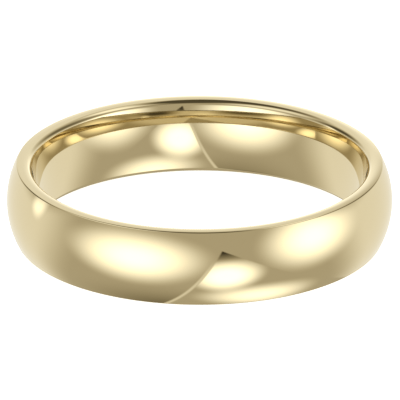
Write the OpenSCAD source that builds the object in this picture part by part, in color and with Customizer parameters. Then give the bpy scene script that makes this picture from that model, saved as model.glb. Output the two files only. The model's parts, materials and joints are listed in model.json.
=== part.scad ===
// Wedding band: one seamless ring of yellow gold, domed outside, with a comfort-fit bore.
// It lies on one rim. The origin is the middle of that rim's circle, and +Z runs along the finger.

/* [Size] */
// Bore at mid-width, where the finger size is gauged (US size 6 1/4)
finger_d = 16.71; // [14:0.01:23]
// Width of the band along the finger
band_w = 4; // [3.4:0.1:6]
// Wall of the band at mid-width
wall = 1.48; // [1.42:0.01:2]

/* [Section] */
// How far the domed outside falls away between mid-width and each rim
dome_drop = 0.52; // [0.4:0.01:0.56]
// How far the long comfort-fit curve opens the bore between mid-width and each rim
comfort_flare = 0.28; // [0.22:0.01:0.3]
// How much further the bore rolls open just inside each rim
roll_flare = 0.14; // [0.1:0.01:0.14]
// Radius of that roll
roll_round = 0.35; // [0.34:0.01:0.4]
// Rise of each softly crowned rim over its two edges
rim_crown = 0.03; // [0.02:0.01:0.04]
// Radius that polishing leaves on the two outer edges
edge_round = 0.06; // [0.04:0.01:0.07]

/* [Lands] */
// Straight length at mid-bore, where a gauge or a ring stick fits
gauge_land = 1; // [0.6:0.1:1.4]
// Flat ring on the crown of each rim, on which the band rests
rest_land = 0.2; // [0.1:0.05:0.2]

/* [Hidden] */
$fn = 180;

// A length to the nearest tenth of a micron
function tidy(length) = round(length * 10000) / 10000;
// Radius of the arc that rises by `rise` over half of its chord
function arc_r(half_chord, rise) = tidy((half_chord ^ 2 + rise ^ 2) / (2 * rise));
// How deep a straight land cuts into an arc
function land_cut(arc, land) = tidy(arc - sqrt(arc ^ 2 - (land / 2) ^ 2));
// Direction from one point to another, one long
function heading(from, to) = (to - from) / norm(to - from);
// Where two circles meet, on the right-hand side going from c1 to c2
function meet(c1, r1, c2, r2) =
    let (d = norm(c2 - c1),
         along = heading(c1, c2),
         a = (d ^ 2 + r1 ^ 2 - r2 ^ 2) / (2 * d),
         b = sqrt(r1 ^ 2 - a ^ 2))
    c1 + a * along + b * [along.y, -along.x];

mid = band_w / 2;
bore_r = finger_d / 2;
outer_r = bore_r + wall;

// The section lies in the plane of radius and height, and arcs of four kinds bound it
dome_r = arc_r(mid, dome_drop);
dome_c = [outer_r - dome_r, mid];

comfort_r = arc_r(mid, comfort_flare);
comfort_c = [bore_r - land_cut(comfort_r, gauge_land) + comfort_r, mid];

rim_w = wall + land_cut(comfort_r, gauge_land) - comfort_flare - roll_flare - dome_drop;
crown_r = arc_r(rim_w / 2, rim_crown);
crown_c = [outer_r - dome_drop - rim_w / 2, band_w + land_cut(crown_r, rest_land) - crown_r];

// Depth of a round's centre under its arcs: a hair less than its radius, so that they meet in clean edges
function inset(round) = round - 0.0002;
outer_round_c = meet(crown_c, crown_r - inset(edge_round), dome_c, dome_r - inset(edge_round));
rim_mouth = crown_c + [-rim_w / 2, crown_r - rim_crown];
roll_c = meet(rim_mouth, roll_round, comfort_c, comfort_r - inset(roll_round));
// A point just outside the rim's inner edge, so that the roll runs out through the crown there
past_mouth = rim_mouth + [rim_crown, rim_crown];

// The metal under the crown of the upper rim
module under_crown() {
    translate(crown_c) circle(crown_r);
    translate([bore_r, mid]) square([wall, mid - 2 * rim_crown]);
}

// The corner between the directions `from` and `to` that is taken off outside a round about c
module taken_off(c, round, from, to) {
    reach = 4 * round;
    translate(c) difference() {
        polygon([[0, 0], reach * from, reach * (from + to), reach * to]);
        circle(round);
    }
}

module upper_half_section() {
    difference() {
        intersection() {
            translate([bore_r, mid]) square([wall, mid]);
            translate(dome_c) circle(dome_r);
            translate(comfort_c) circle(comfort_r);
            under_crown();
        }
        taken_off(outer_round_c, edge_round, heading(crown_c, outer_round_c), heading(dome_c, outer_round_c));
        taken_off(roll_c, roll_round, heading(comfort_c, roll_c), heading(roll_c, past_mouth));
    }
}

module section() {
    upper_half_section();
    translate([0, band_w]) mirror([0, 1]) upper_half_section();
}

module band() {
    color("#E4D3A7")
        rotate_extrude() section();
}

band();
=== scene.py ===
# Plain wedding band in polished 14 k yellow gold, lying on a pale table in a light tent.
import json
import math

import bpy
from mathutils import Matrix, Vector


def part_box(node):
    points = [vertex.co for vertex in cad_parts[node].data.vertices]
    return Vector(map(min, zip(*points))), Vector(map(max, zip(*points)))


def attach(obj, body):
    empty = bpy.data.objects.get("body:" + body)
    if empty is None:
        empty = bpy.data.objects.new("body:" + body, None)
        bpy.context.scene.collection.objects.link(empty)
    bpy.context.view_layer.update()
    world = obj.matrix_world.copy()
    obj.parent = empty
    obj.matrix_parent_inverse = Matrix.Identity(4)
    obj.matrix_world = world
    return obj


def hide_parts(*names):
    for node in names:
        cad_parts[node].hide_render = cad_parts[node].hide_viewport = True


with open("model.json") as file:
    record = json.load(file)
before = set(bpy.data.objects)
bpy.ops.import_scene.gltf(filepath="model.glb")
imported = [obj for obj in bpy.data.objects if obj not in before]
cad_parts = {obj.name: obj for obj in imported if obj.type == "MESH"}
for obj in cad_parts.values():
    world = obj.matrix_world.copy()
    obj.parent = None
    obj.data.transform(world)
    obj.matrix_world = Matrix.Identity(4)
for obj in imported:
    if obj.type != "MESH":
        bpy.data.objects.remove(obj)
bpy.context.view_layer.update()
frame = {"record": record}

mm = 0.001


def linear(hexColour):  # sRGB hex to the linear values that the shaders take
    parts = [int(hexColour[i:i + 2], 16) / 255 for i in (1, 3, 5)]
    return tuple(p / 12.92 if p <= 0.04045 else ((p + 0.055) / 1.055) ** 2.4 for p in parts) + (1.0,)


def addNode(tree, kind, links=None, **settings):  # one node, its settings, and what its sockets take
    node = tree.nodes.new(kind)
    for name, value in settings.items():
        setattr(node, name, value)
    for socket, value in (links or {}).items():
        if isinstance(value, bpy.types.NodeSocket):
            tree.links.new(value, node.inputs[socket])
        else:
            node.inputs[socket].default_value = value
    return node


# the band's shape

bandShape = {
    "domeDrop": 0.52 * mm,      # how far the domed outside falls away towards each rim
    "comfortFlare": 0.28 * mm,  # how far the long comfort-fit curve opens the bore
    "rollFlare": 0.14 * mm,     # how much further the bore rolls open at each mouth
    "rollRound": 0.35 * mm,     # radius of that roll
    "rimCrown": 0.03 * mm,      # rise of each rim over its edges
    "edgeRound": 0.09 * mm,     # what the polishing wheel leaves on the outer edges
    "mouthRound": 0.03 * mm,    # and where the rim meets the roll
    "roundTheRing": 360,        # steps round the finger
    "degPerStep": 1.7,          # finest turn between two steps of the section
}


def arcRadius(halfChord, rise):
    return (halfChord ** 2 + rise ** 2) / (2 * rise)


def meet(c1, r1, c2, r2):  # where two circles cross, on the right-hand side going from c1 to c2
    dx, dz = c2[0] - c1[0], c2[1] - c1[1]
    d = math.hypot(dx, dz)
    a = (d * d + r1 * r1 - r2 * r2) / (2 * d)
    b = math.sqrt(r1 * r1 - a * a)
    return c1[0] + (a * dx + b * dz) / d, c1[1] + (a * dz - b * dx) / d


def angleOf(centre, point):
    return math.atan2(point[1] - centre[1], point[0] - centre[0])


def arcPoints(centre, radius, start, end):  # leaves out its last point, which the next arc starts with
    steps = max(5, round(abs(math.degrees(end - start)) / bandShape["degPerStep"]))
    turns = [start + (end - start) * i / steps for i in range(steps)]
    return [(centre[0] + radius * math.cos(t), centre[1] + radius * math.sin(t)) for t in turns]


def bandSection(boreRadius, outerRadius, width):
    mid = width / 2
    rimOuter = outerRadius - bandShape["domeDrop"]
    rimInner = boreRadius + bandShape["comfortFlare"] + bandShape["rollFlare"]
    dome = arcRadius(mid, bandShape["domeDrop"])
    comfort = arcRadius(mid, bandShape["comfortFlare"])
    crown = arcRadius((rimOuter - rimInner) / 2, bandShape["rimCrown"])
    edge, roll, lip = bandShape["edgeRound"], bandShape["rollRound"], bandShape["mouthRound"]
    domeAt = (outerRadius - dome, mid)
    comfortAt = (boreRadius + comfort, mid)
    crownAt = ((rimOuter + rimInner) / 2, width - crown)
    edgeAt = meet(crownAt, crown - edge, domeAt, dome - edge)
    rollAt = meet((rimInner, width - bandShape["rimCrown"]), roll, comfortAt, comfort - roll)
    lipAt = meet(rollAt, roll - lip, crownAt, crown - lip)
    # from mid-dome over the rim and down the bore to its middle
    stops = [0, angleOf(domeAt, edgeAt), angleOf(crownAt, edgeAt), angleOf(crownAt, lipAt),
             angleOf(rollAt, lipAt), angleOf(comfortAt, rollAt), math.pi]
    arcs = [(domeAt, dome), (edgeAt, edge), (crownAt, crown),
            (lipAt, lip), (rollAt, roll), (comfortAt, comfort)]
    upper = []
    for i, (centre, radius) in enumerate(arcs):
        upper += arcPoints(centre, radius, stops[i], stops[i + 1])
    lower = [(r, width - z) for r, z in reversed(upper[1:])]
    return upper + [(boreRadius, mid)] + lower


def lathe(name, section):
    around, along = bandShape["roundTheRing"], len(section)
    verts, faces = [], []
    for i in range(around):
        turn = 2 * math.pi * i / around
        verts += [(r * math.cos(turn), r * math.sin(turn), z) for r, z in section]
        here, there = i * along, (i + 1) % around * along
        for j in range(along):
            k = (j + 1) % along
            faces.append((here + j, there + j, there + k, here + k))
    mesh = bpy.data.meshes.new(name)
    mesh.from_pydata(verts, [], faces)
    mesh.polygons.foreach_set("use_smooth", [True] * len(faces))
    mesh.update()
    piece = bpy.data.objects.new(name, mesh)
    bpy.context.scene.collection.objects.link(piece)
    return piece


low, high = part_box("band")
mounts = {m["name"]: m for m in frame["record"]["mounts"]}
boreRadius = mounts["finger_bore"]["dims"]["r_mm"] * mm
cadOuterRadius = (high.x - low.x) / 2
band = lathe("polished_band", bandSection(boreRadius, cadOuterRadius, high.z - low.z))
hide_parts("band")
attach(band, "root")
print("band: turned from its section,", len(band.data.polygons), "faces")


# polished 14 k yellow gold

goldLook = {
    "colour": "#DDD0AE",            # pale yellow of a 14 k alloy rich in silver
    "roughness": 0.03,              # mirror polish from a cloth wheel and rouge
    "hazeRoughness": 0.06,          # where fingers and cloth have dulled it a little
    "hazeSize": 2.2 * mm,
    "wheelLineSize": 0.12 * mm,     # real wheel lines are finer; coarser ones still show up close
    "wheelLineLength": 25,          # times its size
    "wheelLineDepth": 0.0001 * mm,
    "waveSize": 3.0 * mm,           # slow unevenness of hand polishing
    "waveDepth": 0.0012 * mm,
    "scratchSize": 0.5 * mm,
    "scratchRoughness": 0.12,
    "scratchWidth": 0.012,          # times its size
    "scratchFrom": 0.58,            # height of the wheel lines where scratches start to show
    "scratchFull": 0.66,
}


def polishedYellowGold14k():  # metal with a mirror polish: it shows its surroundings in yellow
    material = bpy.data.materials.new("polished_14k_yellow_gold")
    material.use_nodes = True
    tree = material.node_tree
    tree.nodes.clear()
    place = addNode(tree, "ShaderNodeTexCoord").outputs["Object"]

    # along the finger, out from the axis, and round it: lines drawn in these run round the band
    xyz = addNode(tree, "ShaderNodeSeparateXYZ", {0: place})
    flat = addNode(tree, "ShaderNodeCombineXYZ", {"X": xyz.outputs["X"], "Y": xyz.outputs["Y"]})
    radius = addNode(tree, "ShaderNodeVectorMath", {
        0: flat.outputs[0]}, operation="LENGTH").outputs["Value"]
    turn = addNode(tree, "ShaderNodeMath", {0: xyz.outputs["Y"], 1: xyz.outputs["X"]}, operation="ARCTAN2")
    stretch = (high.x - low.x) / 2 / goldLook["wheelLineLength"]
    arc = addNode(tree, "ShaderNodeMath", {0: turn.outputs[0], 1: stretch}, operation="MULTIPLY")
    around = addNode(tree, "ShaderNodeCombineXYZ", {
        "X": arc.outputs[0], "Y": radius, "Z": xyz.outputs["Z"]})

    wheelLines = addNode(tree, "ShaderNodeTexNoise", {
        "Vector": around.outputs[0], "Scale": 1 / goldLook["wheelLineSize"], "Detail": 4.0})
    wave = addNode(tree, "ShaderNodeTexNoise", {
        "Vector": place, "Scale": 1 / goldLook["waveSize"], "Detail": 1.0})
    uneven = addNode(tree, "ShaderNodeBump", {
        "Height": wave.outputs["Fac"], "Distance": goldLook["waveDepth"], "Strength": 1.0})
    lined = addNode(tree, "ShaderNodeBump", {
        "Height": wheelLines.outputs["Fac"], "Normal": uneven.outputs["Normal"],
        "Distance": goldLook["wheelLineDepth"], "Strength": 1.0})

    haze = addNode(tree, "ShaderNodeTexNoise", {
        "Vector": place, "Scale": 1 / goldLook["hazeSize"], "Detail": 5.0})
    dull = addNode(tree, "ShaderNodeMapRange", {
        "Value": haze.outputs["Fac"], "From Min": 0.45, "From Max": 0.75,
        "To Min": goldLook["roughness"], "To Max": goldLook["hazeRoughness"]})
    # hairline scratches: thin edges between cells, broken up so that few of them are left
    cells = addNode(tree, "ShaderNodeTexVoronoi", {
        "Vector": place, "Scale": 1 / goldLook["scratchSize"]}, feature="DISTANCE_TO_EDGE")
    hairline = addNode(tree, "ShaderNodeMapRange", {
        "Value": cells.outputs["Distance"], "From Min": goldLook["scratchWidth"], "From Max": 0.0})
    kept = addNode(tree, "ShaderNodeMapRange", {
        "Value": wheelLines.outputs["Fac"], "From Min": goldLook["scratchFrom"],
        "From Max": goldLook["scratchFull"]})
    scratch = addNode(tree, "ShaderNodeMath", {
        0: hairline.outputs[0], 1: kept.outputs[0]}, operation="MULTIPLY")
    rough = addNode(tree, "ShaderNodeMix", {
        0: scratch.outputs[0], 2: dull.outputs["Result"], 3: goldLook["scratchRoughness"]})
    shader = addNode(tree, "ShaderNodeBsdfPrincipled", {
        "Base Color": linear(goldLook["colour"]), "Metallic": 1.0,
        "Roughness": rough.outputs[0], "Normal": lined.outputs["Normal"]})
    addNode(tree, "ShaderNodeOutputMaterial", {"Surface": shader.outputs["BSDF"]})
    return material


band.data.materials.append(polishedYellowGold14k())
print("gold: mirror polish with wheel lines and haze")


# light tent: white cloth with a lamp behind each side, seen only as reflections in the band
# Directions are in degrees from the band: across from the front to the right, and up from the table.

tent = {
    "radius": 58 * mm,
    "walls": 0.55,           # light of the plain cloth
    "sheet": 0.55,           # light of the sheet that the cloth's front opening shows
    "leftEdge": (100, -15),  # the way each straight edge of the opening faces
    "rightEdge": (-70, -45),
    "hemWidth": 0.03,        # the left edge is doubled over and catches more light
    "hemLight": 0.9,
    "hemFade": 20,           # it comes in over this many degrees below the level of the band
    "behindFrom": 120,       # panels past this are placed from the back
    "edgeSoftness": 0.012,
    "dimCloth": "#FFF0C8",   # warm where it hangs in shade
    "litCloth": "#FFFDF4",   # nearly white near a lamp
    "litFrom": 1.2,
}

# lamps glow through the cloth, shades hang in front of it, and later ones cover earlier ones
onCloth = [
    dict(name="backWall", at=(180, 0), size=(95, 55), soft=0.2, light=1.0),
    dict(name="leftLamp", at=(-35, -5), size=(25, 20), soft=0.9, light=2.5),
    dict(name="rightLamp", at=(65, 5), size=(20, 20), soft=0.9, light=2.5),
    dict(name="leftFoot", at=(-40, -90), size=(60, 30), soft=0.9, light=0.1),
    dict(name="leftSlit", at=(-105, 10), size=(5, 10), soft=0.7, light=2.0),
]
onSheet = [
    dict(name="sheetLamp", at=(15, -25), size=(15, 15), soft=0.7, light=2.5),
    dict(name="sheetFront", at=(45, -55), size=(30, 10), soft=0.9, light=2.0),
    dict(name="frontGap", at=(10, 10), size=(20, 10), soft=0.9, light=0.0),
]
above = [
    dict(name="topFlag", at=(0, 90), size=(400, 40), soft=0.3, light=0.1),
    dict(name="leftSky", at=(-65, 50), size=(40, 15), soft=0.7, light=1.2),
    dict(name="rightSky", at=(105, 60), size=(50, 10), soft=0.8, light=1.5),
    dict(name="rightFlag", at=(120, 30), size=(35, 15), soft=0.7, light=0.2),
    dict(name="leftFlag", at=(-120, 25), size=(25, 15), soft=0.7, light=0.1),
    dict(name="backCard", at=(175, 5), size=(15, 15), soft=0.7, light=1.5),
]


def tentCloth():  # glows by itself, brighter where a lamp stands behind it
    material = bpy.data.materials.new("lit_tent_cloth")
    material.use_nodes = True
    tree = material.node_tree
    tree.nodes.clear()

    def maths(operation, first, second=0.0):
        return addNode(tree, "ShaderNodeMath", {0: first, 1: second}, operation=operation).outputs[0]

    def smooth(value, start, end):
        return addNode(tree, "ShaderNodeMapRange", {
            "Value": value, "From Min": start, "From Max": end},
            interpolation_type="SMOOTHSTEP").outputs["Result"]

    place = addNode(tree, "ShaderNodeTexCoord").outputs["Object"]
    way = addNode(tree, "ShaderNodeVectorMath", {0: place}, operation="NORMALIZE").outputs["Vector"]
    xyz = addNode(tree, "ShaderNodeSeparateXYZ", {0: way})
    x, y, z = (xyz.outputs[i] for i in range(3))
    up = maths("DEGREES", maths("ARCSINE", z))
    across = maths("DEGREES", maths("ARCTAN2", x, maths("MULTIPLY", y, -1.0)))
    acrossBehind = maths("DEGREES", maths("ARCTAN2", maths("MULTIPLY", x, -1.0), y))
    front = addNode(tree, "ShaderNodeCombineXYZ", {"X": across, "Y": up}).outputs[0]
    back = addNode(tree, "ShaderNodeCombineXYZ", {"X": acrossBehind, "Y": up}).outputs[0]

    def hang(light, panels):
        for panel in panels:
            side, height = panel["at"]
            # keeps a panel clear of the seam at the back, where the count starts over
            behind = abs(side) > tent["behindFrom"]
            if behind:
                side -= math.copysign(180, side)
            local = addNode(tree, "ShaderNodeMapping", {
                "Vector": back if behind else front, "Location": (side, height, 0),
                "Scale": (*panel["size"], 1)},
                vector_type="TEXTURE", label=panel["name"]).outputs[0]
            reach = addNode(tree, "ShaderNodeVectorMath", {
                0: local}, operation="LENGTH").outputs["Value"]
            cover = smooth(reach, 1 + panel["soft"], 1 - panel["soft"])
            light = addNode(tree, "ShaderNodeMix", {0: cover, 2: light, 3: panel["light"]}).outputs[0]
        return light

    def inside(edge, wider=0.0):
        side, height = (math.radians(a) for a in edge)
        facing = (math.cos(height) * math.sin(side),
                  -math.cos(height) * math.cos(side),
                  math.sin(height))
        reach = addNode(tree, "ShaderNodeVectorMath", {
            0: way, 1: facing}, operation="DOT_PRODUCT").outputs["Value"]
        return smooth(reach, -tent["edgeSoftness"] - wider, tent["edgeSoftness"] - wider)

    opening = maths("MULTIPLY", inside(tent["leftEdge"]), inside(tent["rightEdge"]))
    cloth = addNode(tree, "ShaderNodeMix", {
        0: opening, 2: hang(tent["walls"], onCloth), 3: hang(tent["sheet"], onSheet)}).outputs[0]
    hem = maths("SUBTRACT", inside(tent["leftEdge"], tent["hemWidth"]), inside(tent["leftEdge"]))
    hem = maths("MULTIPLY", hem, smooth(up, 0, -tent["hemFade"]))
    hemmed = addNode(tree, "ShaderNodeMix", {0: hem, 2: cloth, 3: tent["hemLight"]}).outputs[0]
    light = hang(hemmed, above)
    colour = addNode(tree, "ShaderNodeMix", {
        0: smooth(light, 0, tent["litFrom"]), 6: linear(tent["dimCloth"]), 7: linear(tent["litCloth"])},
        data_type="RGBA").outputs[2]
    glow = addNode(tree, "ShaderNodeEmission", {"Color": colour, "Strength": light})
    addNode(tree, "ShaderNodeOutputMaterial", {"Surface": glow.outputs[0]})
    return material


def lightTent():
    bpy.ops.mesh.primitive_uv_sphere_add(
        segments=96, ring_count=48, radius=tent["radius"], location=(0, 0, (low.z + high.z) / 2))
    ball = bpy.context.object
    ball.name = "light_tent"
    ball.data.materials.append(tentCloth())
    ball.visible_camera = False      # the camera stands outside and looks through the cloth
    ball.visible_diffuse = False     # the table has its own light
    ball.visible_shadow = False


lightTent()
print("light tent: up")


# pale table in plain light

tableLook = {
    "half": 3.0,
    "gap": 0.01 * mm,        # keeps the rim from lying in the table's own surface
    "colour": "#F4F4F2",
    "roomLight": 1.05,
    "selfLight": 0.8,        # lifts the shade inside the band, as light bouncing about a white room does
}


def paleTable():
    half = tableLook["half"]
    mesh = bpy.data.meshes.new("pale_table")
    corners = [(-half, -half, 0), (half, -half, 0), (half, half, 0), (-half, half, 0)]
    mesh.from_pydata(corners, [], [(0, 1, 2, 3)])
    table = bpy.data.objects.new("pale_table", mesh)
    bpy.context.scene.collection.objects.link(table)
    table.location.z = -tableLook["gap"]
    material = bpy.data.materials.new("white_laminate")
    material.use_nodes = True
    tree = material.node_tree
    tree.nodes.clear()
    matt = addNode(tree, "ShaderNodeBsdfDiffuse", {"Color": linear(tableLook["colour"])})
    lit = addNode(tree, "ShaderNodeEmission", {"Strength": tableLook["selfLight"]})
    both = addNode(tree, "ShaderNodeAddShader", {0: matt.outputs[0], 1: lit.outputs[0]})
    addNode(tree, "ShaderNodeOutputMaterial", {"Surface": both.outputs[0]})
    mesh.materials.append(material)
    table.visible_glossy = False   # the band mirrors the tent's sheet instead


def whiteRoom():
    world = bpy.data.worlds.new("white_room")
    bpy.context.scene.world = world
    world.use_nodes = True
    tree = world.node_tree
    tree.nodes.clear()
    light = addNode(tree, "ShaderNodeBackground", {
        "Color": (1, 1, 1, 1), "Strength": tableLook["roomLight"]})
    addNode(tree, "ShaderNodeOutputWorld", {"Surface": light.outputs[0]})


paleTable()
whiteRoom()
print("table and room: white")


# camera

cameraPlace = {
    "elevation": 22.16,
    "lens": 1700.0,
    "sensor": 36.0,
    "viewWidth": 20.39 * mm,   # what the view takes in at the band
    "aside": 0.020 * mm,
    "below": 0.032 * mm,
    "nearest": 0.01,
    "farthest": 20.0,
}


def productCamera():
    data = bpy.data.cameras.new("camera")
    camera = bpy.data.objects.new("camera", data)
    bpy.context.scene.collection.objects.link(camera)
    bpy.context.scene.camera = camera
    data.lens = cameraPlace["lens"]
    data.sensor_width = cameraPlace["sensor"]
    distance = data.lens / data.sensor_width * cameraPlace["viewWidth"]
    tip = math.radians(cameraPlace["elevation"])
    up = (0, math.sin(tip), math.cos(tip))
    middle = (low.z + high.z) / 2
    aim = (cameraPlace["aside"], -cameraPlace["below"] * up[1], middle - cameraPlace["below"] * up[2])
    camera.location = (aim[0], aim[1] - distance * math.cos(tip), aim[2] + distance * math.sin(tip))
    camera.rotation_euler = (math.radians(90) - tip, 0, 0)
    data.clip_start = cameraPlace["nearest"]
    data.clip_end = cameraPlace["farthest"]


productCamera()
bpy.context.scene.view_settings.view_transform = "Standard"
print("camera: placed")
